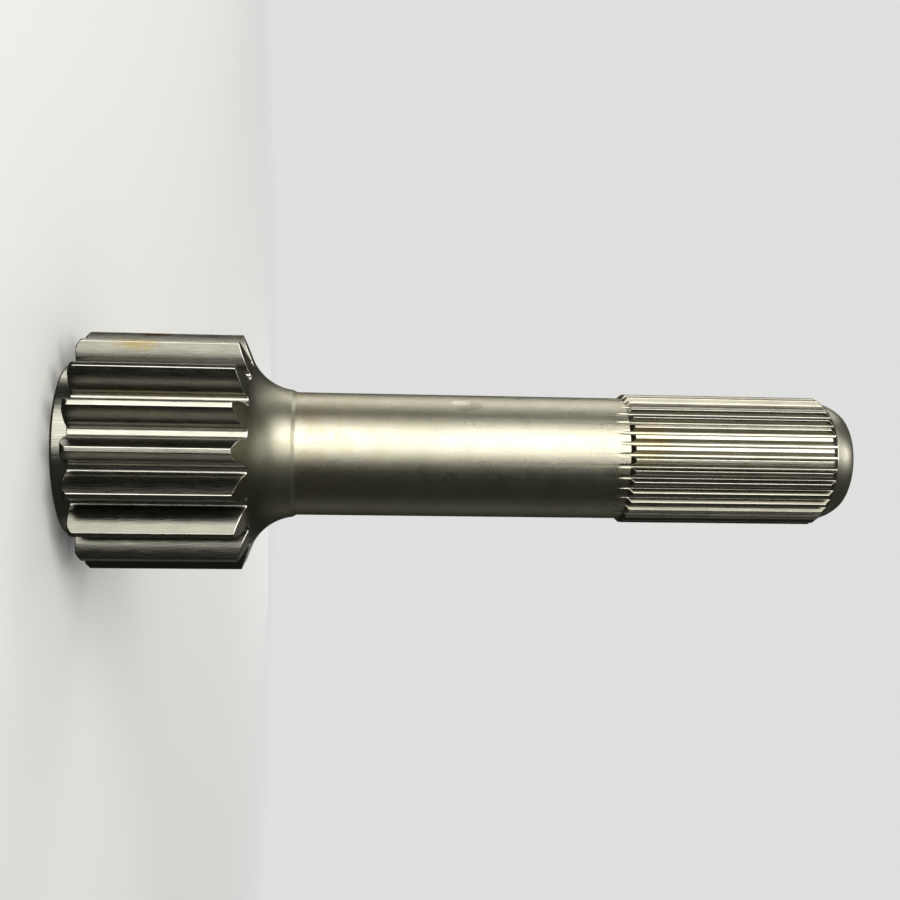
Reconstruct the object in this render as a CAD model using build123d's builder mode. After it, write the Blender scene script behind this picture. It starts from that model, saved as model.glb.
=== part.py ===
# Splined shaft: one forged and machined steel piece.
# It stands on the end face of its pinion collar, axis along +Z, origin at the
# centre of that face.  Millimetres.
import math
import os

from build123d import *

os.makedirs("parts", exist_ok=True)

# ---------------------------------------------------------------- pinion
PINION_TEETH = 17
PINION_MODULE = 4.0
PINION_PRESSURE = math.radians(20.0)
PINION_SHIFT = 0.5                      # profile shift, in modules
PINION_TIP_R = 40.0                     # outside diameter 80
PINION_ROOT_R = 30.4                    # root diameter 60.8
PINION_FILLET_R = 1.2                   # root fillet of the tooth space

COLLAR_R = 29.15                        # plain collar left of the teeth
COLLAR_LEN = 5.6
COLLAR_EDGE_R = 0.9                     # rounded outer edge of the collar

TIP_CHAMFER_AXIAL = 1.6                 # tooth tips are turned off at the free end
TIP_CHAMFER_RADIAL = 1.7
TIP_EDGE_R = 0.7                        # and the chamfer is blended

CREST_END_Z = COLLAR_LEN + 52.15        # tooth crests end here, on the neck
NECK_ARC_R = 17.5                       # concave neck
NECK_ARC_Z = COLLAR_LEN + 71.2          # station of the arc's centre
NECK_FACE_DEG = 21.0                    # end face of the teeth, from the radial plane
NECK_CREST_R = 0.5                      # blend between crest and end face
NECK_STEP_Z0 = COLLAR_LEN + 69.1        # small shoulder where neck meets shaft
NECK_STEP_Z1 = COLLAR_LEN + 70.4

# ----------------------------------------------------------------- shaft
SHAFT_R = 21.10                         # plain shaft, diameter 42.2
NECK_FLAT = 0.6                         # neck arc bottoms this far above the shaft

# ---------------------------------------------------------------- spline
SPLINE_TEETH = 35
SPLINE_MODULE = 1.25
SPLINE_PRESSURE = math.radians(30.0)
SPLINE_TIP_R = 22.5                     # outside diameter 45 = m(z+1)
SPLINE_ROOT_R = 20.85
SPLINE_PHASE_DEG = 2.0                  # angle from a pinion tooth to a spline tooth
SPLINE_CHAMFER_Z0 = COLLAR_LEN + 182.1
SPLINE_CHAMFER_Z1 = COLLAR_LEN + 183.6
SPLINE_CREST_END_Z = COLLAR_LEN + 251.2
GROOVE_FULL_Z = COLLAR_LEN + 181.9      # full groove depth from here to the end
CUTTER_R = 30.0                         # grooves run out on this radius

# ------------------------------------------------------------------ nose
NOSE_Z0 = COLLAR_LEN + 253.5            # nose begins under the spline ends
NOSE_R0 = 20.65
NOSE_A0 = math.radians(12.5)            # slope where it begins
NOSE_A1 = math.radians(39.0)            # slope where the shoulder arc takes over
NOSE_ARC_R = 15.0
SHOULDER_R = 5.0


def inv(a):
    return math.tan(a) - a


def polar(r, a):
    return (r * math.cos(a), r * math.sin(a))


def half_thickness(r, z, m, alpha, x):
    """Half the tooth's angle at radius r, measured at the shaft's centre."""
    rb = z * m / 2.0 * math.cos(alpha)
    at_pitch = math.pi / (2.0 * z) + 2.0 * x * math.tan(alpha) / z
    return at_pitch + inv(alpha) - inv(math.acos(min(1.0, rb / r)))


# ------------------------------------------------- turned blank, half section
neck_c_r = SHAFT_R + NECK_FLAT + NECK_ARC_R
neck_a = math.pi / 2 - math.radians(NECK_FACE_DEG)
neck_t = (neck_c_r - NECK_ARC_R * math.cos(neck_a), NECK_ARC_Z - NECK_ARC_R * math.sin(neck_a))
neck_mid_a = 0.5 * (neck_a + math.asin((NECK_ARC_Z - NECK_STEP_Z0) / NECK_ARC_R))
neck_m = (neck_c_r - NECK_ARC_R * math.cos(neck_mid_a), NECK_ARC_Z - NECK_ARC_R * math.sin(neck_mid_a))
neck_end_a = math.asin((NECK_ARC_Z - NECK_STEP_Z0) / NECK_ARC_R)
neck_e = (neck_c_r - NECK_ARC_R * math.cos(neck_end_a), NECK_STEP_Z0)
crest_end = (PINION_TIP_R, neck_t[1] - (PINION_TIP_R - neck_t[0]) * math.tan(math.radians(NECK_FACE_DEG)))


def nose_point(a):
    return (NOSE_R0 - NOSE_ARC_R * (math.cos(NOSE_A0) - math.cos(a)),
            NOSE_Z0 + NOSE_ARC_R * (math.sin(a) - math.sin(NOSE_A0)))


nose_m = nose_point(0.5 * (NOSE_A0 + NOSE_A1))
nose_1 = nose_point(NOSE_A1)
sh_c = (nose_1[0] - SHOULDER_R * math.cos(NOSE_A1), nose_1[1] - SHOULDER_R * math.sin(NOSE_A1))
sh_mid_a = 0.5 * (NOSE_A1 + math.pi / 2)
sh_m = (sh_c[0] + SHOULDER_R * math.cos(sh_mid_a), sh_c[1] + SHOULDER_R * math.sin(sh_mid_a))
nose_end = (sh_c[0], sh_c[1] + SHOULDER_R)

with BuildSketch(Plane.XZ) as half_section:
    with BuildLine():
        Polyline((0, 0), (COLLAR_R, 0), (COLLAR_R, COLLAR_LEN),
                 (PINION_TIP_R - TIP_CHAMFER_RADIAL, COLLAR_LEN),
                 (PINION_TIP_R, COLLAR_LEN + TIP_CHAMFER_AXIAL),
                 crest_end, neck_t)
        ThreePointArc(neck_t, neck_m, neck_e)
        Polyline(neck_e, (SHAFT_R, NECK_STEP_Z1), (SHAFT_R, SPLINE_CHAMFER_Z0),
                 (SPLINE_TIP_R, SPLINE_CHAMFER_Z1), (SPLINE_TIP_R, SPLINE_CREST_END_Z),
                 (NOSE_R0, NOSE_Z0))
        ThreePointArc((NOSE_R0, NOSE_Z0), nose_m, nose_1)
        ThreePointArc(nose_1, sh_m, nose_end)
        Polyline(nose_end, (0, nose_end[1]), (0, 0))
    make_face()
    section_corners = half_section.vertices()
    fillet(section_corners.sort_by_distance((COLLAR_R, 0, 0))[0], COLLAR_EDGE_R)
    section_corners = half_section.vertices()
    fillet(section_corners.sort_by_distance((PINION_TIP_R, 0, COLLAR_LEN + TIP_CHAMFER_AXIAL))[0], TIP_EDGE_R)
    section_corners = half_section.vertices()
    fillet(section_corners.sort_by_distance((PINION_TIP_R - TIP_CHAMFER_RADIAL, 0, COLLAR_LEN))[0], TIP_EDGE_R)
    section_corners = half_section.vertices()
    fillet(section_corners.sort_by_distance((crest_end[0], 0, crest_end[1]))[0], NECK_CREST_R)

# -------------------------------------------- tooth space of the pinion, flat
# The space lies on +X; its flanks are involutes that run into round roots.
p_half_pitch = math.pi / PINION_TEETH
p_base_r = PINION_TEETH * PINION_MODULE / 2.0 * math.cos(PINION_PRESSURE)
p_radii = [p_base_r, 32.3, 33.2, 34.6, 36.4, 38.4, PINION_TIP_R + 0.3]
p_out_r = PINION_TIP_R + 2.0


def pinion_flank(side):
    pts = []
    for r in p_radii:
        a = p_half_pitch - half_thickness(r, PINION_TEETH, PINION_MODULE, PINION_PRESSURE, PINION_SHIFT)
        pts.append(polar(r, side * a))
    return pts


def root_round(side):
    """Start, middle and end of the fillet: from the radial foot of the flank to the root circle."""
    foot_a = p_half_pitch - half_thickness(p_base_r, PINION_TEETH, PINION_MODULE, PINION_PRESSURE, PINION_SHIFT)
    centre_r = PINION_ROOT_R + PINION_FILLET_R
    lean = math.asin(PINION_FILLET_R / centre_r)
    centre_a = foot_a - lean
    c = polar(centre_r, side * centre_a)
    middle_a = 0.5 * ((foot_a + math.pi / 2) + (centre_a + math.pi))
    middle = (c[0] + PINION_FILLET_R * math.cos(middle_a), c[1] + side * PINION_FILLET_R * math.sin(middle_a))
    return polar(centre_r * math.cos(lean), side * foot_a), middle, polar(PINION_ROOT_R, side * centre_a)


pf_lo = pinion_flank(-1)
pf_hi = pinion_flank(1)
rr_lo = root_round(-1)
rr_hi = root_round(1)

with BuildSketch() as pinion_space:
    with BuildLine():
        Spline(*pf_lo)
        Line(pf_lo[0], rr_lo[0])
        ThreePointArc(*rr_lo)
        ThreePointArc(rr_lo[2], (PINION_ROOT_R, 0), rr_hi[2])
        ThreePointArc(rr_hi[2], rr_hi[1], rr_hi[0])
        Line(rr_hi[0], pf_hi[0])
        Spline(*pf_hi)
        Polyline(pf_hi[-1], polar(p_out_r, p_half_pitch * 0.86), polar(p_out_r, -p_half_pitch * 0.86), pf_lo[-1])
    make_face()

# -------------------------------------------- groove of the spline, flat
s_half_pitch = math.pi / SPLINE_TEETH
s_low_r = 21.15
s_radii = [s_low_r, 21.6, 22.1, SPLINE_TIP_R + 0.15]


def spline_flank(side):
    pts = []
    for r in s_radii:
        a = s_half_pitch - half_thickness(r, SPLINE_TEETH, SPLINE_MODULE, SPLINE_PRESSURE, 0.0)
        pts.append(polar(r, side * a))
    return pts


sf_lo = spline_flank(-1)
sf_hi = spline_flank(1)
s_root_a = math.atan2(sf_hi[0][1], sf_hi[0][0]) - 0.22 / SPLINE_ROOT_R
s_out_r = SPLINE_TIP_R + 0.9

with BuildSketch() as groove_section:
    with BuildLine():
        Spline(*sf_lo)
        ThreePointArc(sf_lo[0], polar(SPLINE_ROOT_R + 0.075, -s_root_a - 0.08 / SPLINE_ROOT_R), polar(SPLINE_ROOT_R, -s_root_a))
        ThreePointArc(polar(SPLINE_ROOT_R, -s_root_a), (SPLINE_ROOT_R, 0), polar(SPLINE_ROOT_R, s_root_a))
        ThreePointArc(polar(SPLINE_ROOT_R, s_root_a), polar(SPLINE_ROOT_R + 0.075, s_root_a + 0.08 / SPLINE_ROOT_R), sf_hi[0])
        Spline(*sf_hi)
        Polyline(sf_hi[-1], polar(s_out_r, s_half_pitch * 0.80), polar(s_out_r, -s_half_pitch * 0.80), sf_lo[-1])
    make_face()

# One groove with its run-out, as the cutter leaves it.
with BuildPart() as groove:
    with BuildSketch(Plane.XY.offset(GROOVE_FULL_Z)) as groove_face:
        add(groove_section.sketch)
    extrude(amount=nose_end[1] - GROOVE_FULL_Z)
    revolve(groove_face.sketch, axis=Axis((SPLINE_ROOT_R + CUTTER_R, 0, GROOVE_FULL_Z), (0, 1, 0)),
            revolution_arc=-12.0)

# ----------------------------------------------------------------- the part
with BuildPart() as splined_shaft:
    add(half_section.sketch)
    revolve(axis=Axis.Z)
    # pinion teeth: the spaces run through from the collar to the neck
    with BuildSketch(Plane.XY.offset(COLLAR_LEN - 2.0)):
        with PolarLocations(0, PINION_TEETH, start_angle=math.degrees(p_half_pitch)):
            add(pinion_space.sketch)
    extrude(amount=60.0, mode=Mode.SUBTRACT)
    # spline teeth
    with PolarLocations(0, SPLINE_TEETH, start_angle=SPLINE_PHASE_DEG + math.degrees(s_half_pitch)):
        add(groove.part, mode=Mode.SUBTRACT)

splined_shaft.part.label = "splined_shaft"
export_step(splined_shaft.part, "parts/splined_shaft.step")
print("volume mm3", round(splined_shaft.part.volume, 1), "solids", len(splined_shaft.part.solids()),
      "length", round(nose_end[1], 3), "crest end", crest_end)
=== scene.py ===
import math

import bpy
import numpy as np
from mathutils import Matrix, Vector


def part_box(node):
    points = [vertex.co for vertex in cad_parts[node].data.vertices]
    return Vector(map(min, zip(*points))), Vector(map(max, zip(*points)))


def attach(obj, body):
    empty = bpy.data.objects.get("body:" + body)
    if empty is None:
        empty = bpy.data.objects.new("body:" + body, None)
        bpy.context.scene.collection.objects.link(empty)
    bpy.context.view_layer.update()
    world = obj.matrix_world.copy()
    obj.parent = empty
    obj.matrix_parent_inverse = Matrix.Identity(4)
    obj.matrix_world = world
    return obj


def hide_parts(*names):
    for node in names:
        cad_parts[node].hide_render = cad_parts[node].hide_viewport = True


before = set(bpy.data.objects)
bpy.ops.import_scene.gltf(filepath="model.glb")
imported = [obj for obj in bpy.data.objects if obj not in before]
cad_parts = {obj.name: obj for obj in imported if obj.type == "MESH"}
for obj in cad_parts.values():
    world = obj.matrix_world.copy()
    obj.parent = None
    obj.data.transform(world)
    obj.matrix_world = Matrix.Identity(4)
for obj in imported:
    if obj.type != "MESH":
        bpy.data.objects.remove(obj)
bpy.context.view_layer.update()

NODE = "splined_shaft"
node_lo, node_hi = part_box(NODE)
LENGTH = node_hi.z * 1000.0            # overall length in mm, from the CAD

# --------------------------------------------------------------------------
# Sizes in mm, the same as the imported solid's
# --------------------------------------------------------------------------
PIN_Z, PIN_M, PIN_A, PIN_X = 17, 4.0, math.radians(20.0), 0.5
PIN_TIP, PIN_ROOT, PIN_FILLET = 40.0, 30.4, 1.2
COLLAR_R, COLLAR_LEN = 29.15, 5.6
SH_R = 21.10
SP_Z, SP_M, SP_A = 35, 1.25, math.radians(30.0)
SP_TIP, SP_ROOT, SP_PHASE = 22.5, 20.85, math.radians(2.0)
FULL_Z, CUTTER_R = COLLAR_LEN + 181.9, 30.0
CH_Z0, CH_Z1, CREST_END = COLLAR_LEN + 182.1, COLLAR_LEN + 183.6, COLLAR_LEN + 251.2
NOSE_Z0, NOSE_R0 = COLLAR_LEN + 253.5, 20.65
EDGE = 0.17                            # broken edges of the pinion teeth


def inv(a):
    return math.tan(a) - a


def half_tooth(r, z, m, alpha, x):
    rb = z * m / 2.0 * math.cos(alpha)
    return math.pi / (2 * z) + 2 * x * math.tan(alpha) / z + inv(alpha) - inv(math.acos(min(1.0, rb / r)))


def polar(r, a):
    return np.array([r * math.cos(a), r * math.sin(a)])


def arc3(p0, p1, p2, n):
    """n points on the circle through three points, both ends included."""
    (ax, ay), (bx, by), (cx, cy) = p0, p1, p2
    d = 2 * (ax * (by - cy) + bx * (cy - ay) + cx * (ay - by))
    ux = ((ax * ax + ay * ay) * (by - cy) + (bx * bx + by * by) * (cy - ay) + (cx * cx + cy * cy) * (ay - by)) / d
    uy = ((ax * ax + ay * ay) * (cx - bx) + (bx * bx + by * by) * (ax - cx) + (cx * cx + cy * cy) * (bx - ax)) / d
    r = math.hypot(ax - ux, ay - uy)
    a0, a1, a2 = (math.atan2(p[1] - uy, p[0] - ux) for p in (p0, p1, p2))
    a1 = a0 + (a1 - a0 + math.pi) % (2 * math.pi) - math.pi
    a2 = a1 + (a2 - a1 + math.pi) % (2 * math.pi) - math.pi
    t = np.linspace(a0, a2, n)
    return np.stack([ux + r * np.cos(t), uy + r * np.sin(t)], 1)


def rounded(points, radii, n=5):
    """A polyline whose corner i is rounded by radii[i]."""
    out = []
    for i, p in enumerate(points):
        p = np.array(p, float)
        r = radii.get(i, 0.0)
        if r <= 0 or i in (0, len(points) - 1):
            out.append(p)
            continue
        a, b = np.array(points[i - 1], float) - p, np.array(points[i + 1], float) - p
        a, b = a / np.linalg.norm(a), b / np.linalg.norm(b)
        half = math.acos(max(-1, min(1, float(a @ b)))) / 2
        t = r / math.tan(half)
        c = p + (a + b) / np.linalg.norm(a + b) * (r / math.sin(half))
        s, e = p + a * t, p + b * t
        t0 = math.atan2(s[1] - c[1], s[0] - c[0])
        t1 = math.atan2(e[1] - c[1], e[0] - c[0])
        t1 = t0 + (t1 - t0 + math.pi) % (2 * math.pi) - math.pi
        for t in np.linspace(t0, t1, n):
            out.append(c + r * np.array([math.cos(t), math.sin(t)]))
    return np.array(out)


# --------------------------------------------------------------------------
# The skin: rings of points from the bottom centre, out, up, in to the top
# --------------------------------------------------------------------------
class Skin:
    def __init__(self):
        self.points, self.faces, self.mats, self.index, self.edge = [], [], [], {}, []

    def ring(self, pts, edge=0.0):
        made = []
        edge = np.broadcast_to(edge, len(pts))
        for (x, y, z), e in zip(pts, edge):
            key = (round(x, 5), round(y, 5), round(z, 5))
            if key not in self.index:
                self.index[key] = len(self.points)
                self.points.append(key)
                self.edge.append(float(e))
            made.append(self.index[key])
        return made

    def face(self, ids, mat):
        clean = [a for k, a in enumerate(ids) if a != ids[k - 1]]
        if len(set(clean)) == len(clean) and len(clean) >= 3:
            self.faces.append(clean)
            self.mats.append(mat)

    def strip(self, low, up, mat):
        for i in range(len(low)):
            j = (i + 1) % len(low)
            self.face([low[i], low[j], up[j], up[i]], mat)

    def zip(self, low, up, mat):
        """Joins two rings with different counts, both in order of angle."""
        def angles(ids):
            a = np.unwrap([math.atan2(self.points[k][1], self.points[k][0]) for k in ids])
            return a
        la, ua = angles(low), angles(up)
        ua = ua - 2 * math.pi * round((ua[0] - la[0]) / (2 * math.pi))
        s = int(np.argmin(abs(ua - la[0])))
        up = up[s:] + up[:s]
        ua = np.concatenate([ua[s:], ua[:s] + 2 * math.pi])
        la, ua = np.append(la, la[0] + 2 * math.pi), np.append(ua, ua[0] + 2 * math.pi)
        i = j = 0
        while i < len(low) or j < len(up):
            a, b = low[i % len(low)], up[j % len(up)]
            if j >= len(up) or (i < len(low) and la[i + 1] <= ua[j + 1]):
                self.face([a, low[(i + 1) % len(low)], b], mat)
                i += 1
            else:
                self.face([a, up[(j + 1) % len(up)], b], mat)
                j += 1

    def close(self, ring, z, mat, top):
        c = self.ring([(0.0, 0.0, z)])[0]
        for i in range(len(ring)):
            j = (i + 1) % len(ring)
            self.face([ring[i], ring[j], c] if top else [c, ring[j], ring[i]], mat)


def turned(skin, profile, angles, mat, start, edge=None):
    """Adds rings that follow (r, z) pairs, all with the same angles."""
    prev = start
    for k, (r, z) in enumerate(profile):
        ring = skin.ring(np.stack([r * np.cos(angles), r * np.sin(angles), np.full(len(angles), z)], 1),
                         0.0 if edge is None else edge[k])
        if prev is not None:
            skin.strip(prev, ring, mat)
        prev = ring
    return prev


# pinion section: half a tooth from its middle to the middle of the space
def pinion_half():
    a_tip = half_tooth(PIN_TIP, PIN_Z, PIN_M, PIN_A, PIN_X)
    pitch = math.pi / PIN_Z
    base_r = PIN_Z * PIN_M / 2 * math.cos(PIN_A)
    rr = np.concatenate([np.linspace(PIN_TIP, 33.0, 60), np.linspace(33.0, base_r, 30)[1:]])
    flank = np.array([polar(r, half_tooth(r, PIN_Z, PIN_M, PIN_A, PIN_X)) for r in rr])
    fs = np.concatenate([[0], np.cumsum(np.hypot(*np.diff(flank, axis=0).T))])

    def on_flank(s):
        return np.array([np.interp(s, fs, flank[:, 0]), np.interp(s, fs, flank[:, 1])])
    corner = flank[0]
    cut_c, cut_f = 0.20, 0.24
    pts = [polar(PIN_TIP, a) for a in (0.0, a_tip * 0.35, a_tip - 0.32 / PIN_TIP)]
    c0, c2 = polar(PIN_TIP, a_tip - cut_c / PIN_TIP), on_flank(cut_f)
    for t in (0.0, 0.25, 0.5, 0.75, 1.0):
        pts.append(c0 * (1 - t) ** 2 + corner * 2 * t * (1 - t) + c2 * t * t)
    pts.append(on_flank(cut_f + 0.13))
    for s in np.linspace(cut_f + 0.13, fs[-1], 8)[1:]:
        pts.append(on_flank(s))
    low_a = half_tooth(base_r, PIN_Z, PIN_M, PIN_A, PIN_X)
    lean = math.asin(PIN_FILLET / (PIN_ROOT + PIN_FILLET))
    root_a = low_a + lean
    c = polar(PIN_ROOT + PIN_FILLET, root_a)
    t0, t1 = low_a - math.pi / 2, root_a - math.pi
    for t in np.linspace(t0, t1, 7):
        pts.append(c + PIN_FILLET * np.array([math.cos(t), math.sin(t)]))
    pts.append(polar(PIN_ROOT, (root_a + pitch) / 2))
    pts.append(polar(PIN_ROOT, pitch))
    return np.array(pts)


half = pinion_half()
ang = np.arctan2(half[:, 1], half[:, 0])
rad = np.hypot(half[:, 0], half[:, 1])
one_a = np.concatenate([ang, 2 * math.pi / PIN_Z - ang[-2:0:-1]])
one_r = np.concatenate([rad, rad[-2:0:-1]])
P_ang = np.concatenate([one_a + k * 2 * math.pi / PIN_Z for k in range(PIN_Z)])
P_rad = np.tile(one_r, PIN_Z)
P = np.stack([P_rad * np.cos(P_ang), P_rad * np.sin(P_ang)], 1)
t1 = P - np.roll(P, 1, 0)
t2 = np.roll(P, -1, 0) - P
t1 /= np.linalg.norm(t1, axis=1)[:, None]
t2 /= np.linalg.norm(t2, axis=1)[:, None]
tan = t1 + t2
tan /= np.linalg.norm(tan, axis=1)[:, None]
N2 = np.stack([tan[:, 1], -tan[:, 0]], 1)
b = EDGE * np.clip((PIN_TIP - 0.1 - P_rad) / 0.6, 0.08, 1.0)[:, None]
INSET = P - b * N2
IN_R, IN_A = np.hypot(INSET[:, 0], INSET[:, 1]), np.arctan2(INSET[:, 1], INSET[:, 0])
MID = P - 0.29 * b * N2
corner_edge = np.clip(1.0 - abs(P_rad - PIN_TIP + 0.05) / 0.12, 0, 1)      # crest corners
crest_mid = np.tile(np.concatenate([[1] * 3, [0] * (len(one_a) - 5), [1] * 2]), PIN_Z)
corner_edge = corner_edge * (1 - crest_mid)

# profiles (r, z)
bottom = rounded([(COLLAR_R, COLLAR_LEN), (PIN_TIP - 1.7, COLLAR_LEN), (PIN_TIP, COLLAR_LEN + 1.6), (PIN_TIP, COLLAR_LEN + 6)],
                 {1: 0.8, 2: 0.8}, 7)
bottom = bottom[:-1]
neck_c = (SH_R + 0.6 + 17.5, COLLAR_LEN + 71.2)
na0, na1 = math.radians(69.0), math.asin(2.1 / 17.5)
neck_t = (neck_c[0] - 17.5 * math.cos(na0), neck_c[1] - 17.5 * math.sin(na0))
crest_z = neck_t[1] - (PIN_TIP - neck_t[0]) * math.tan(math.radians(21.0))
face = rounded([(PIN_TIP, crest_z - 5), (PIN_TIP, crest_z), neck_t], {1: 0.5}, 7)[1:-1]
neck_arc = np.array([(neck_c[0] - 17.5 * math.cos(a), neck_c[1] - 17.5 * math.sin(a)) for a in np.linspace(na0, na1, 40)])
neck_all = np.concatenate([face, neck_arc])          # r falls, z rises


def z_bottom(r):
    return np.interp(r, bottom[:, 0], bottom[:, 1])


def z_neck(r):
    return np.interp(-r, -neck_all[:, 0], neck_all[:, 1])


M_PIN, M_NECK, M_SHAFT, M_SPLINE, M_NOSE = range(5)
skin = Skin()

# collar
ca = np.linspace(0, 2 * math.pi, 238, endpoint=False)
collar = rounded([(10.0, 0.0), (COLLAR_R, 0.0), (COLLAR_R, COLLAR_LEN), (30.0, COLLAR_LEN)], {1: 0.9, 2: 0.25}, 7)
collar = np.insert(collar, 1, [(27.9, 0.0)], 0)
low = turned(skin, collar[:1], ca, M_PIN, None)
skin.close(low, 0.0, M_PIN, False)
low = turned(skin, collar[1:-1], ca, M_PIN, low)
levels = [29.75, 30.0, 30.9, 31.9, 32.9, 34.0, 35.2, 36.3, 37.3] + [r for r, z in bottom[1:]]
prev = None
for lev in levels:
    r = np.minimum(lev, IN_R)
    ring = skin.ring(np.stack([r * np.cos(IN_A), r * np.sin(IN_A), z_bottom(r)], 1))
    if prev is None:
        skin.zip(low, ring, M_PIN)
    else:
        skin.strip(prev, ring, M_PIN)
    prev = ring


def put(xy, z, edge=0.0):
    return skin.ring(np.column_stack([xy, z]), edge)


bz = b[:, 0]
zb, zt = z_bottom(P_rad), z_neck(P_rad)
for xy, z, e in ((INSET, z_bottom(IN_R), 0.6), (MID, zb + 0.29 * bz, 1.0), (P, zb + bz, 0.8),
                 (P, zb + bz + 0.3, corner_edge), (P, zb + bz + 12, corner_edge), (P, zt - bz - 12, corner_edge),
                 (P, zt - bz - 0.3, corner_edge), (P, zt - bz, 0.8), (MID, zt - 0.29 * bz, 1.0), (INSET, z_neck(IN_R), 0.6)):
    ring = put(xy, z, e)
    skin.strip(prev, ring, M_PIN)
    prev = ring
# end faces of the teeth and the neck
for lev in [r for r, z in face[1:]] + [39.0, 38.2, 37.2, 36.2, 35.2, 34.3, 33.5] + [r for r, z in neck_arc[:11]]:
    if lev < 29.7:
        break
    r = np.minimum(lev, IN_R)
    ring = skin.ring(np.stack([r * np.cos(IN_A), r * np.sin(IN_A), z_neck(r)], 1))
    skin.strip(prev, ring, M_NECK)
    prev = ring
# below the teeth the columns are spread out evenly
own = np.unwrap(IN_A)
even = own[0] + np.linspace(0, 2 * math.pi, len(own), endpoint=False)
rest = [(r, z) for r, z in neck_arc if r < 29.6][::2]
step = rounded([neck_arc[-2], neck_arc[-1], (SH_R, COLLAR_LEN + 70.4), (SH_R, 100.0)], {1: 0.25, 2: 0.5}, 4)
for i, point in enumerate(rest[:-1]):
    w = min(1.0, (i + 1) / 7)
    prev = turned(skin, [point], own * (1 - w) + even * w, M_NECK, prev)
prev = turned(skin, step[1:-1], even, M_NECK, prev)
prev = turned(skin, [(SH_R, 77.0), (SH_R, 101.0), (SH_R, 129.0)], even, M_SHAFT, prev)

# spline: r as a function of angle and height
s_pitch = math.pi / SP_Z


def groove_xy():
    low_r = 21.15
    low_a = s_pitch - half_tooth(low_r, SP_Z, SP_M, SP_A, 0.0)
    root_a = low_a - 0.22 / SP_ROOT
    pts = [polar(SP_ROOT, a) for a in np.linspace(0, root_a, 8)]
    pts += list(arc3(polar(SP_ROOT, root_a), polar(SP_ROOT + 0.075, root_a + 0.08 / SP_ROOT), polar(low_r, low_a), 9)[1:])
    for r in np.linspace(low_r, 22.75, 20)[1:]:
        pts.append(polar(r, s_pitch - half_tooth(r, SP_Z, SP_M, SP_A, 0.0)))
    last = pts[-1]
    for k in range(1, 12):
        pts.append(last + np.array([0.5 * k, 0.18 * k]))
    return np.array(pts), root_a, low_a


G, g_root, g_low = groove_xy()
g_tip = s_pitch - half_tooth(SP_TIP, SP_Z, SP_M, SP_A, 0.0)
nose_c_r, nose_c_z = NOSE_R0 - 15.0 * math.cos(math.radians(12.5)), NOSE_Z0 - 15.0 * math.sin(math.radians(12.5))
nose = [(nose_c_r + 15 * math.cos(a), nose_c_z + 15 * math.sin(a)) for a in np.radians(np.linspace(12.5, 39, 12))]
sc = (nose[-1][0] - 5 * math.cos(math.radians(39)), nose[-1][1] - 5 * math.sin(math.radians(39)))
nose += [(sc[0] + 5 * math.cos(a), sc[1] + 5 * math.sin(a)) for a in np.radians(np.linspace(39, 90, 10))[1:]]
nose = np.array(nose)
nose[:, 1] += LENGTH - nose[-1, 1]
BLANK = np.array([(183.0, SH_R), (CH_Z0, SH_R), (CH_Z1, SP_TIP), (CREST_END, SP_TIP), (NOSE_Z0, NOSE_R0)]
                 + [(z, r) for r, z in nose[1:4]])


def smin(p, q, k):
    h = np.maximum(k - abs(p - q), 0) / k
    return np.minimum(p, q) - h * h * k / 4


def spline_r(phi, z):
    """phi is the angle from the middle of a groove, 0 to half a pitch."""
    blank = np.interp(z, BLANK[:, 0], BLANK[:, 1])
    x, y = G[:, 0], G[:, 1]
    if z < FULL_Z - 4.5:
        return np.full_like(phi, blank)
    if z < FULL_Z:
        reach = SP_ROOT + CUTTER_R - x
        ok = reach > (FULL_Z - z)
        x = (SP_ROOT + CUTTER_R) - np.sqrt(np.maximum(reach ** 2 - (FULL_Z - z) ** 2, 0.0))
        x, y = x[ok], y[ok]
    rho, fi = np.hypot(x, y), np.arctan2(y, x)
    order = np.argsort(fi)
    cut = np.interp(phi, fi[order], rho[order])
    return smin(np.full_like(phi, blank), cut, 0.16)


d = math.radians
cols = [0, 0.5 * g_root, g_root, 0.5 * (g_root + g_low), g_low] + list(g_low + (g_tip - g_low) * np.array([0.3, 0.6, 0.82]))
cols += [g_tip - d(0.13), g_tip, g_tip + d(0.13), g_tip + d(0.3), g_tip + d(0.85), s_pitch]
cols = np.array(cols)
one_phi = np.concatenate([-cols[:0:-1], cols[:-1]])         # one pitch, groove in the middle
S_phi = np.tile(abs(one_phi), SP_Z)
S_ang = np.concatenate([one_phi + SP_PHASE + s_pitch + k * 2 * s_pitch for k in range(SP_Z)])

rows = [131.0, 183.0] + list(np.arange(183.35, 187.4, 0.33)) + [187.5] + list(np.arange(187.66, 189.5, 0.17)) + [189.8, 190.4]
rows += [212.0, 234.0, 256.0, 256.45] + list(np.arange(256.62, 259.35, 0.19))
sprev = None
for z in rows:
    r = spline_r(S_phi, z)
    edge = np.zeros(len(r))
    if 188.5 < z < 258.0:
        edge = np.where(abs(S_phi - g_tip) < d(0.2), 1.0, 0.0)
    ring = skin.ring(np.stack([r * np.cos(S_ang), r * np.sin(S_ang), np.full(len(r), z)], 1), edge)
    if sprev is None:
        skin.zip(prev, ring, M_SHAFT)
    else:
        skin.strip(sprev, ring, M_SHAFT if z < CH_Z0 + 0.1 else M_SPLINE)
    sprev = ring
na = np.linspace(0, 2 * math.pi, 224, endpoint=False)
tail = [(r, z) for r, z in nose if z > rows[-1] + 0.1]
last = turned(skin, tail[:1], na, M_NOSE, None)
skin.zip(sprev, last, M_NOSE)
last = turned(skin, tail[1:] + [(tail[-1][0] - 0.3, LENGTH), (9.0, LENGTH)], na, M_NOSE, last)
skin.close(last, LENGTH, M_NOSE, True)

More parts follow.
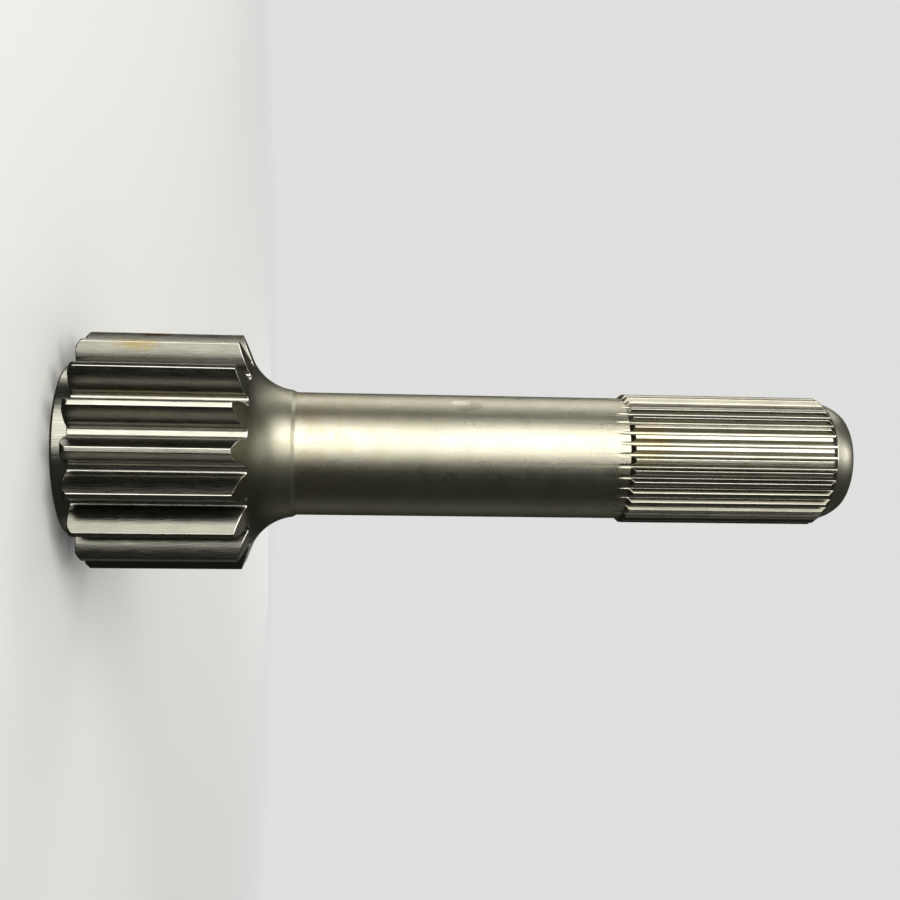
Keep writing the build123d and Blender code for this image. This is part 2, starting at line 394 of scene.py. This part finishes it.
mesh = bpy.data.meshes.new("splined_shaft_steel")
mesh.from_pydata([(x / 1000, y / 1000, z / 1000) for x, y, z in skin.points], [], skin.faces)
mesh.polygons.foreach_set("use_smooth", [True] * len(mesh.polygons))
mesh.polygons.foreach_set("material_index", skin.mats)
# edge marks the broken tooth edges; the materials lighten them as wear and painted highlight
att = mesh.attributes.new("edge", "FLOAT", "POINT")
att.data.foreach_set("value", skin.edge)
mesh.validate()
mesh.update()
piece = bpy.data.objects.new("splined_shaft_steel", mesh)
bpy.context.scene.collection.objects.link(piece)
tris = sum(len(p.vertices) - 2 for p in mesh.polygons)
print("triangles", tris, "vertices", len(mesh.vertices))


# --------------------------------------------------------------------------
# Materials: one steel, finished differently along the shaft
# --------------------------------------------------------------------------
class Nodes:
    """Short names for building a node tree."""

    def __init__(self, name):
        self.mat = bpy.data.materials.new(name)
        self.mat.use_nodes = True
        self.t = self.mat.node_tree
        self.t.nodes.clear()
        self.co = self.new("ShaderNodeTexCoord").outputs["Object"]
        self.out = self.new("ShaderNodeOutputMaterial")
        self.bsdf = self.new("ShaderNodeBsdfPrincipled")
        self.link(self.bsdf.outputs[0], self.out.inputs[0])

    def new(self, kind):
        return self.t.nodes.new(kind)

    def link(self, a, b):
        self.t.links.new(a, b)

    def put(self, socket, value):
        if isinstance(value, bpy.types.NodeSocket):
            self.link(value, socket)
        else:
            socket.default_value = value

    def stretched(self, sx, sy, sz):
        n = self.new("ShaderNodeMapping")
        self.link(self.co, n.inputs["Vector"])
        n.inputs["Scale"].default_value = (sx, sy, sz)
        return n.outputs[0]

    def noise(self, scale, detail=3.0, rough=0.55, vector=None, distort=0.0):
        n = self.new("ShaderNodeTexNoise")
        self.link(vector or self.co, n.inputs["Vector"])
        n.inputs["Scale"].default_value = scale
        n.inputs["Detail"].default_value = detail
        n.inputs["Roughness"].default_value = rough
        n.inputs["Distortion"].default_value = distort
        return n.outputs["Fac"]

    def voronoi(self, scale, vector=None, feature="F1"):
        n = self.new("ShaderNodeTexVoronoi")
        n.feature = feature
        self.link(vector or self.co, n.inputs["Vector"])
        n.inputs["Scale"].default_value = scale
        return n.outputs["Distance"]

    def ramp(self, value, a, b, lo=0.0, hi=1.0):
        n = self.new("ShaderNodeMapRange")
        n.interpolation_type = "SMOOTHSTEP"
        self.put(n.inputs["Value"], value)
        n.inputs["From Min"].default_value = a
        n.inputs["From Max"].default_value = b
        n.inputs["To Min"].default_value = lo
        n.inputs["To Max"].default_value = hi
        return n.outputs["Result"]

    def math(self, op, a, b=0.0, clamp=False):
        n = self.new("ShaderNodeMath")
        n.operation = op
        n.use_clamp = clamp
        self.put(n.inputs[0], a)
        self.put(n.inputs[1], b)
        return n.outputs[0]

    def mix(self, factor, a, b, blend="MIX"):
        n = self.new("ShaderNodeMix")
        n.data_type = "RGBA"
        n.blend_type = blend
        self.put(n.inputs["Factor"], factor)
        for s, v in ((n.inputs["A"], a), (n.inputs["B"], b)):
            pass
        for socket in n.inputs:
            if socket.type == "RGBA" and socket.name == "A":
                self.put(socket, a)
            if socket.type == "RGBA" and socket.name == "B":
                self.put(socket, b)
        return next(o for o in n.outputs if o.type == "RGBA")

    def spot(self, centre, radii, wobble=None, amount=0.0):
        """1 inside an ellipsoid in metres, 0 outside, with a soft, uneven edge."""
        sub = self.new("ShaderNodeVectorMath")
        sub.operation = "SUBTRACT"
        self.link(self.co, sub.inputs[0])
        sub.inputs[1].default_value = centre
        div = self.new("ShaderNodeVectorMath")
        div.operation = "DIVIDE"
        self.link(sub.outputs[0], div.inputs[0])
        div.inputs[1].default_value = radii
        ln = self.new("ShaderNodeVectorMath")
        ln.operation = "LENGTH"
        self.link(div.outputs[0], ln.inputs[0])
        dist = ln.outputs["Value"]
        if wobble is not None:
            dist = self.math("ADD", dist, self.math("MULTIPLY", self.math("SUBTRACT", wobble, 0.5), amount))
        return self.ramp(dist, 0.55, 1.1, 1.0, 0.0)

    def height(self):
        sep = self.new("ShaderNodeSeparateXYZ")
        self.link(self.co, sep.inputs[0])
        return sep.outputs["Z"]

    def radius(self):
        """Distance from the shaft's axis, in metres."""
        flat = self.new("ShaderNodeVectorMath")
        flat.operation = "MULTIPLY"
        self.link(self.co, flat.inputs[0])
        flat.inputs[1].default_value = (1.0, 1.0, 0.0)
        ln = self.new("ShaderNodeVectorMath")
        ln.operation = "LENGTH"
        self.link(flat.outputs[0], ln.inputs[0])
        return ln.outputs["Value"]

    def attribute(self, name):
        n = self.new("ShaderNodeAttribute")
        n.attribute_name = name
        return n.outputs["Fac"]

    def bump(self, height, strength, distance, normal=None):
        n = self.new("ShaderNodeBump")
        n.inputs["Strength"].default_value = strength
        n.inputs["Distance"].default_value = distance
        self.link(height, n.inputs["Height"])
        if normal is not None:
            self.link(normal, n.inputs["Normal"])
        return n.outputs[0]

    def finish(self, colour, rough, normal, metallic=1.0):
        self.put(self.bsdf.inputs["Base Color"], colour)
        self.put(self.bsdf.inputs["Roughness"], rough)
        if normal is not None:
            self.link(normal, self.bsdf.inputs["Normal"])
        self.bsdf.inputs["Metallic"].default_value = metallic
        return self.mat


STEEL = (0.56, 0.548, 0.485, 1.0)
STEEL_WARM = (0.56, 0.54, 0.445, 1.0)
STEEL_DIM = (0.40, 0.39, 0.34, 1.0)
RUST = (0.30, 0.17, 0.055, 1.0)
STAIN = (0.55, 0.43, 0.20, 1.0)


def pinion_steel():
    k = Nodes("steel_hobbed_pinion")
    cloud = k.noise(70.0, 3.0, 0.6)
    along = k.stretched(1.0, 1.0, 0.045)
    lines = k.noise(2600.0, 2.0, 0.6, along)               # cutting lines along the teeth
    dashes = k.noise(1500.0, 3.0, 0.65, k.stretched(1.0, 1.0, 0.16))
    smears = k.ramp(dashes, 0.60, 0.74)
    edge = k.attribute("edge")
    colour = k.mix(k.ramp(cloud, 0.35, 0.7), STEEL, (0.50, 0.492, 0.44, 1.0))
    colour = k.mix(k.ramp(dashes, 0.30, 0.44, 0.55, 0.0), colour, STEEL_DIM)
    colour = k.mix(k.math("MULTIPLY", smears, 0.8), colour, (0.66, 0.65, 0.60, 1.0))
    fine = k.noise(420.0, 4.0, 0.7)
    stain_a = k.spot((0.0175, -0.0350, 0.0255), (0.0030, 0.0030, 0.0095), fine, 1.7)
    stain_b = k.spot((0.0035, -0.0398, 0.0285), (0.0024, 0.0022, 0.0085), fine, 1.4)
    stain_c = k.spot((0.0275, -0.0150, 0.032), (0.0020, 0.0028, 0.030), fine, 2.2)
    spots = k.math("MULTIPLY", k.ramp(k.noise(95.0, 4.0, 0.65), 0.66, 0.74), k.ramp(fine, 0.45, 0.6))
    colour = k.mix(k.math("MULTIPLY", stain_a, 0.75), colour, STAIN)
    colour = k.mix(k.math("MULTIPLY", stain_b, 0.8), colour, RUST)
    colour = k.mix(k.math("MULTIPLY", stain_c, 0.5), colour, STAIN)
    colour = k.mix(k.math("MULTIPLY", spots, 0.45), colour, STAIN)
    r = k.radius()                    # painted shade darkens the flanks, not the crests and roots; the whole pinion steel is also a darker tone
    flank = k.math("MULTIPLY", k.ramp(r, 0.0307, 0.0314), k.ramp(r, 0.03965, 0.03985, 1.0, 0.0))
    colour = k.mix(1.0, colour, (0.78, 0.78, 0.78, 1.0), "MULTIPLY")
    colour = k.mix(flank, colour, k.mix(1.0, colour, (0.52, 0.52, 0.51, 1.0), "MULTIPLY"))
    # lighter tooth edges: real wear, and painted highlight along them
    colour = k.mix(k.math("MULTIPLY", edge, 0.6), colour, (0.70, 0.69, 0.64, 1.0))
    rough = k.math("ADD", 0.30, k.math("MULTIPLY", k.math("SUBTRACT", lines, 0.5), 0.35))
    rough = k.math("ADD", rough, k.math("MULTIPLY", smears, 0.10))
    rough = k.math("SUBTRACT", rough, k.math("MULTIPLY", edge, 0.08), clamp=True)
    n = k.bump(lines, 0.30, 0.00004)
    n = k.bump(dashes, 0.22, 0.00006, n)
    n = k.bump(k.noise(900.0, 3.0, 0.6), 0.10, 0.00008, n)
    return k.finish(colour, rough, n)


def neck_steel():
    k = Nodes("steel_turned_neck")
    cloud = k.noise(60.0, 4.0, 0.6)
    grain = k.noise(3400.0, 2.0, 0.6)
    z = k.height()
    turn = k.new("ShaderNodeTexNoise")
    turn.noise_dimensions = "1D"
    k.link(z, turn.inputs["W"])
    turn.inputs["Scale"].default_value = 2600.0
    turn.inputs["Detail"].default_value = 2.0
    colour = k.mix(k.ramp(cloud, 0.35, 0.68), (0.50, 0.485, 0.40, 1.0), (0.42, 0.405, 0.32, 1.0))
    brown = k.math("MULTIPLY", k.ramp(k.noise(130.0, 4.0, 0.6), 0.5, 0.68), k.ramp(z, 0.066, 0.075))
    colour = k.mix(k.math("MULTIPLY", brown, 0.45), colour, (0.42, 0.33, 0.17, 1.0))
    # painted shade: the neck is darkened below 64 mm, fading out by 73.5 mm
    colour = k.mix(k.ramp(z, 0.0640, 0.0735, 1.0, 0.0), colour, k.mix(1.0, colour, (0.42, 0.42, 0.40, 1.0), "MULTIPLY"))
    rough = k.math("ADD", 0.38, k.math("MULTIPLY", k.math("SUBTRACT", cloud, 0.5), 0.16))
    n = k.bump(grain, 0.50, 0.00011)
    n = k.bump(turn.outputs["Fac"], 0.10, 0.00003, n)
    return k.finish(colour, rough, n)


def shaft_steel():
    k = Nodes("steel_satin_shaft")
    cloud = k.noise(48.0, 4.0, 0.6)
    blotch = k.noise(150.0, 4.0, 0.65, distort=0.6)
    grain = k.noise(3600.0, 2.0, 0.65)
    fine = k.noise(7000.0, 1.0, 0.5)
    z = k.height()
    colour = k.mix(k.ramp(cloud, 0.35, 0.68), STEEL_WARM, (0.50, 0.48, 0.385, 1.0))
    colour = k.mix(k.ramp(blotch, 0.58, 0.76, 0.0, 0.35), colour, (0.40, 0.375, 0.29, 1.0))
    near = k.ramp(z, 0.076, 0.115, 1.0, 0.0)
    brown = k.math("MULTIPLY", k.ramp(blotch, 0.44, 0.62), near)
    colour = k.mix(k.math("MULTIPLY", brown, 0.38), colour, (0.46, 0.36, 0.18, 1.0))
    dark = k.spot((0.0128, -0.0170, 0.1345), (0.0030, 0.0030, 0.0050), blotch, 2.0)
    shiny = k.spot((0.0112, -0.0180, 0.1315), (0.0022, 0.0020, 0.0035), blotch, 1.2)
    colour = k.mix(k.math("MULTIPLY", dark, 0.6), colour, (0.30, 0.28, 0.22, 1.0))
    colour = k.mix(k.math("MULTIPLY", shiny, 0.4), colour, (0.70, 0.69, 0.62, 1.0))
    specks = k.ramp(grain, 0.60, 0.74)
    colour = k.mix(k.math("MULTIPLY", specks, 0.35), colour, (0.74, 0.72, 0.62, 1.0))
    rough = k.math("ADD", 0.31, k.math("MULTIPLY", k.math("SUBTRACT", blotch, 0.5), 0.16))
    rough = k.math("ADD", rough, k.math("MULTIPLY", k.math("SUBTRACT", grain, 0.5), 0.22))
    rough = k.math("SUBTRACT", rough, k.math("MULTIPLY", shiny, 0.12), clamp=True)
    scratch = k.ramp(k.noise(900.0, 2.0, 0.6, k.stretched(0.12, 0.12, 1.4), 0.4), 0.70, 0.76)
    n = k.bump(grain, 0.60, 0.00013)
    n = k.bump(fine, 0.30, 0.00004, n)
    n = k.bump(scratch, 0.15, 0.00002, n)
    return k.finish(colour, rough, n)


def spline_steel():
    k = Nodes("steel_hobbed_spline")
    cloud = k.noise(80.0, 3.0, 0.6)
    lines = k.noise(3800.0, 2.0, 0.6, k.stretched(1.0, 1.0, 0.03))
    long_lines = k.noise(1500.0, 2.0, 0.5, k.stretched(1.0, 1.0, 0.012))
    nicks = k.ramp(k.noise(1100.0, 3.0, 0.7, k.stretched(1.0, 1.0, 0.35)), 0.66, 0.76)
    fine = k.noise(330.0, 4.0, 0.7)
    edge = k.attribute("edge")
    colour = k.mix(k.ramp(cloud, 0.35, 0.7), (0.60, 0.588, 0.52, 1.0), (0.52, 0.508, 0.44, 1.0))
    colour = k.mix(k.ramp(long_lines, 0.52, 0.70, 0.0, 0.45), colour, (0.38, 0.365, 0.30, 1.0))
    yellow = k.spot((0.0218, -0.0060, 0.1940), (0.0060, 0.0105, 0.0075), fine, 1.6)
    colour = k.mix(k.math("MULTIPLY", yellow, 0.42), colour, (0.56, 0.46, 0.24, 1.0))
    tint = k.math("MULTIPLY", k.ramp(k.noise(120.0, 4.0, 0.6), 0.60, 0.72), k.ramp(fine, 0.42, 0.6))
    colour = k.mix(k.math("MULTIPLY", tint, 0.30), colour, STAIN)
    colour = k.mix(k.math("MULTIPLY", nicks, 0.5), colour, (0.36, 0.35, 0.30, 1.0))
    # painted shade darkens the spline flanks, not the crests and roots
    r = k.radius()
    flank = k.math("MULTIPLY", k.ramp(r, 0.02092, 0.02112), k.ramp(r, 0.02235, 0.02245, 1.0, 0.0))
    colour = k.mix(flank, colour, k.mix(1.0, colour, (0.42, 0.41, 0.38, 1.0), "MULTIPLY"))
    # lighter spline crest edges: real wear, and painted highlight along them
    colour = k.mix(k.math("MULTIPLY", edge, 0.5), colour, (0.74, 0.73, 0.67, 1.0))
    rough = k.math("ADD", 0.27, k.math("MULTIPLY", k.math("SUBTRACT", lines, 0.5), 0.30))
    rough = k.math("ADD", rough, k.math("MULTIPLY", nicks, 0.12), clamp=True)
    n = k.bump(lines, 0.28, 0.00003)
    n = k.bump(nicks, 0.18, 0.00004, n)
    n = k.bump(k.noise(1300.0, 3.0, 0.6), 0.10, 0.00006, n)
    return k.finish(colour, rough, n)


def nose_steel():
    k = Nodes("steel_turned_nose")
    cloud = k.noise(110.0, 4.0, 0.6)
    grain = k.noise(3400.0, 2.0, 0.6)
    z = k.height()
    turn = k.new("ShaderNodeTexNoise")
    turn.noise_dimensions = "1D"
    k.link(z, turn.inputs["W"])
    turn.inputs["Scale"].default_value = 3200.0
    turn.inputs["Detail"].default_value = 2.0
    colour = k.mix(k.ramp(cloud, 0.35, 0.68), (0.50, 0.485, 0.41, 1.0), (0.41, 0.40, 0.335, 1.0))
    rough = k.math("ADD", 0.38, k.math("MULTIPLY", k.math("SUBTRACT", cloud, 0.5), 0.18))
    n = k.bump(grain, 0.35, 0.00005)
    n = k.bump(turn.outputs["Fac"], 0.12, 0.00003, n)
    return k.finish(colour, rough, n)


for made in (pinion_steel(), neck_steel(), shaft_steel(), spline_steel(), nose_steel()):
    mesh.materials.append(made)
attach(piece, "root")
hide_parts(NODE)

# --------------------------------------------------------------------------
# Floor, light and camera
# --------------------------------------------------------------------------
fm = bpy.data.meshes.new("studio_floor")
ring = [(6.0 * math.cos(t), 6.0 * math.sin(t), 0.0) for t in np.linspace(0, 2 * math.pi, 128, endpoint=False)]
fm.from_pydata(ring, [], [list(range(128))])
floor = bpy.data.objects.new("studio_floor", fm)
floor.location.z = -0.00004
bpy.context.scene.collection.objects.link(floor)
k = Nodes("pale_floor")
k.finish(k.mix(k.noise(3.0, 2.0, 0.5), (0.78, 0.78, 0.77, 1.0), (0.81, 0.81, 0.80, 1.0)), 0.95,
         k.bump(k.noise(900.0, 2.0, 0.5), 0.05, 0.0002), 0.0)
k.bsdf.inputs["Specular IOR Level"].default_value = 0.1
clear, blend = k.new("ShaderNodeBsdfTransparent"), k.new("ShaderNodeMixShader")
away = k.new("ShaderNodeVectorMath")
away.operation = "LENGTH"
k.link(k.co, away.inputs[0])
k.link(k.ramp(away.outputs["Value"], 0.25, 1.1), blend.inputs[0])
k.link(k.bsdf.outputs[0], blend.inputs[1])
k.link(clear.outputs[0], blend.inputs[2])
k.link(blend.outputs[0], k.out.inputs[0])
fm.materials.append(k.mat)
floor.visible_glossy = False           # the steel keeps the dark surround it has in the studio

TURN = math.radians(-1.95)             # from the camera's own axes to the tooth on +X
SPIN = Matrix.Rotation(TURN, 4, "Z")


def panel(name, alpha, distance, z, width, height, watts, colour, tilt_to=0.13):
    """A soft panel. alpha is its bearing from the camera's side towards -Y."""
    a = math.radians(alpha)
    light = bpy.data.lights.new(name, "AREA")
    light.shape = "RECTANGLE"
    light.size, light.size_y = width, height
    light.energy = watts
    light.color = colour
    ob = bpy.data.objects.new(name, light)
    bpy.context.scene.collection.objects.link(ob)
    at = Vector((distance * math.cos(a), -distance * math.sin(a), z))
    rot = (Vector((0, 0, tilt_to)) - at).to_track_quat("-Z", "Y").to_matrix().to_4x4()
    ob.matrix_world = SPIN @ Matrix.Translation(at) @ rot
    ob.visible_camera = False
    return ob


WARM = (1.0, 0.985, 0.92)
panel("key", 27.0, 0.80, 0.33, 0.78, 1.45, 11.0, WARM, 0.33)
panel("top", 27.0, 0.32, 1.15, 0.30, 0.40, 1.6, WARM, 0.26)
panel("second", 115.0, 0.80, 0.33, 0.34, 1.45, 3.0, WARM, 0.33)
panel("low_fill", -118.0, 0.80, 0.33, 0.40, 1.2, 0.16, WARM, 0.33)
panel("back", 180.0, 0.90, 0.30, 0.30, 1.0, 1.6, WARM, 0.30)

world = bpy.data.worlds.new("studio")
bpy.context.scene.world = world
world.use_nodes = True
world.cycles.sampling_method = "NONE"
wt = world.node_tree
wt.nodes.clear()
wo = wt.nodes.new("ShaderNodeOutputWorld")
path = wt.nodes.new("ShaderNodeLightPath")


def ground(colour, strength):
    n = wt.nodes.new("ShaderNodeBackground")
    n.inputs[0].default_value = colour
    n.inputs[1].default_value = strength
    return n


seen, soft, dim = ground((0.74, 0.74, 0.735, 1), 1.0), ground((1, 1, 0.99, 1), 0.52), ground((0.95, 1.0, 0.80, 1), 0.030)
m1, m2 = wt.nodes.new("ShaderNodeMixShader"), wt.nodes.new("ShaderNodeMixShader")
wt.links.new(path.outputs["Is Glossy Ray"], m1.inputs[0])
wt.links.new(soft.outputs[0], m1.inputs[1])
wt.links.new(dim.outputs[0], m1.inputs[2])
wt.links.new(path.outputs["Is Camera Ray"], m2.inputs[0])
wt.links.new(m1.outputs[0], m2.inputs[1])
wt.links.new(seen.outputs[0], m2.inputs[2])
wt.links.new(m2.outputs[0], wo.inputs[0])
bpy.context.scene.view_settings.view_transform = "Standard"

cam_data = bpy.data.cameras.new("camera")
cam_data.sensor_width = 36.0
cam_data.lens = 42.971
cam_data.shift_x, cam_data.shift_y = 0.02487, 0.05691
cam_data.clip_start, cam_data.clip_end = 0.02, 50.0
camera = bpy.data.objects.new("camera", cam_data)
bpy.context.scene.collection.objects.link(camera)
right = Vector((0.07272, -0.01202, 0.99728)).normalized()
look = Vector((-0.997352, 0.0, 0.072723))
look = (look - right * look.dot(right)).normalized()
up = right.cross(look)
pose = Matrix((( right.x, up.x, -look.x, 0.373169),
               ( right.y, up.y, -look.y, 0.015892),
               ( right.z, up.z, -look.z, 0.094143),
               ( 0, 0, 0, 1)))
camera.matrix_world = SPIN @ pose
bpy.context.scene.camera = camera

bpy.context.view_layer.update()
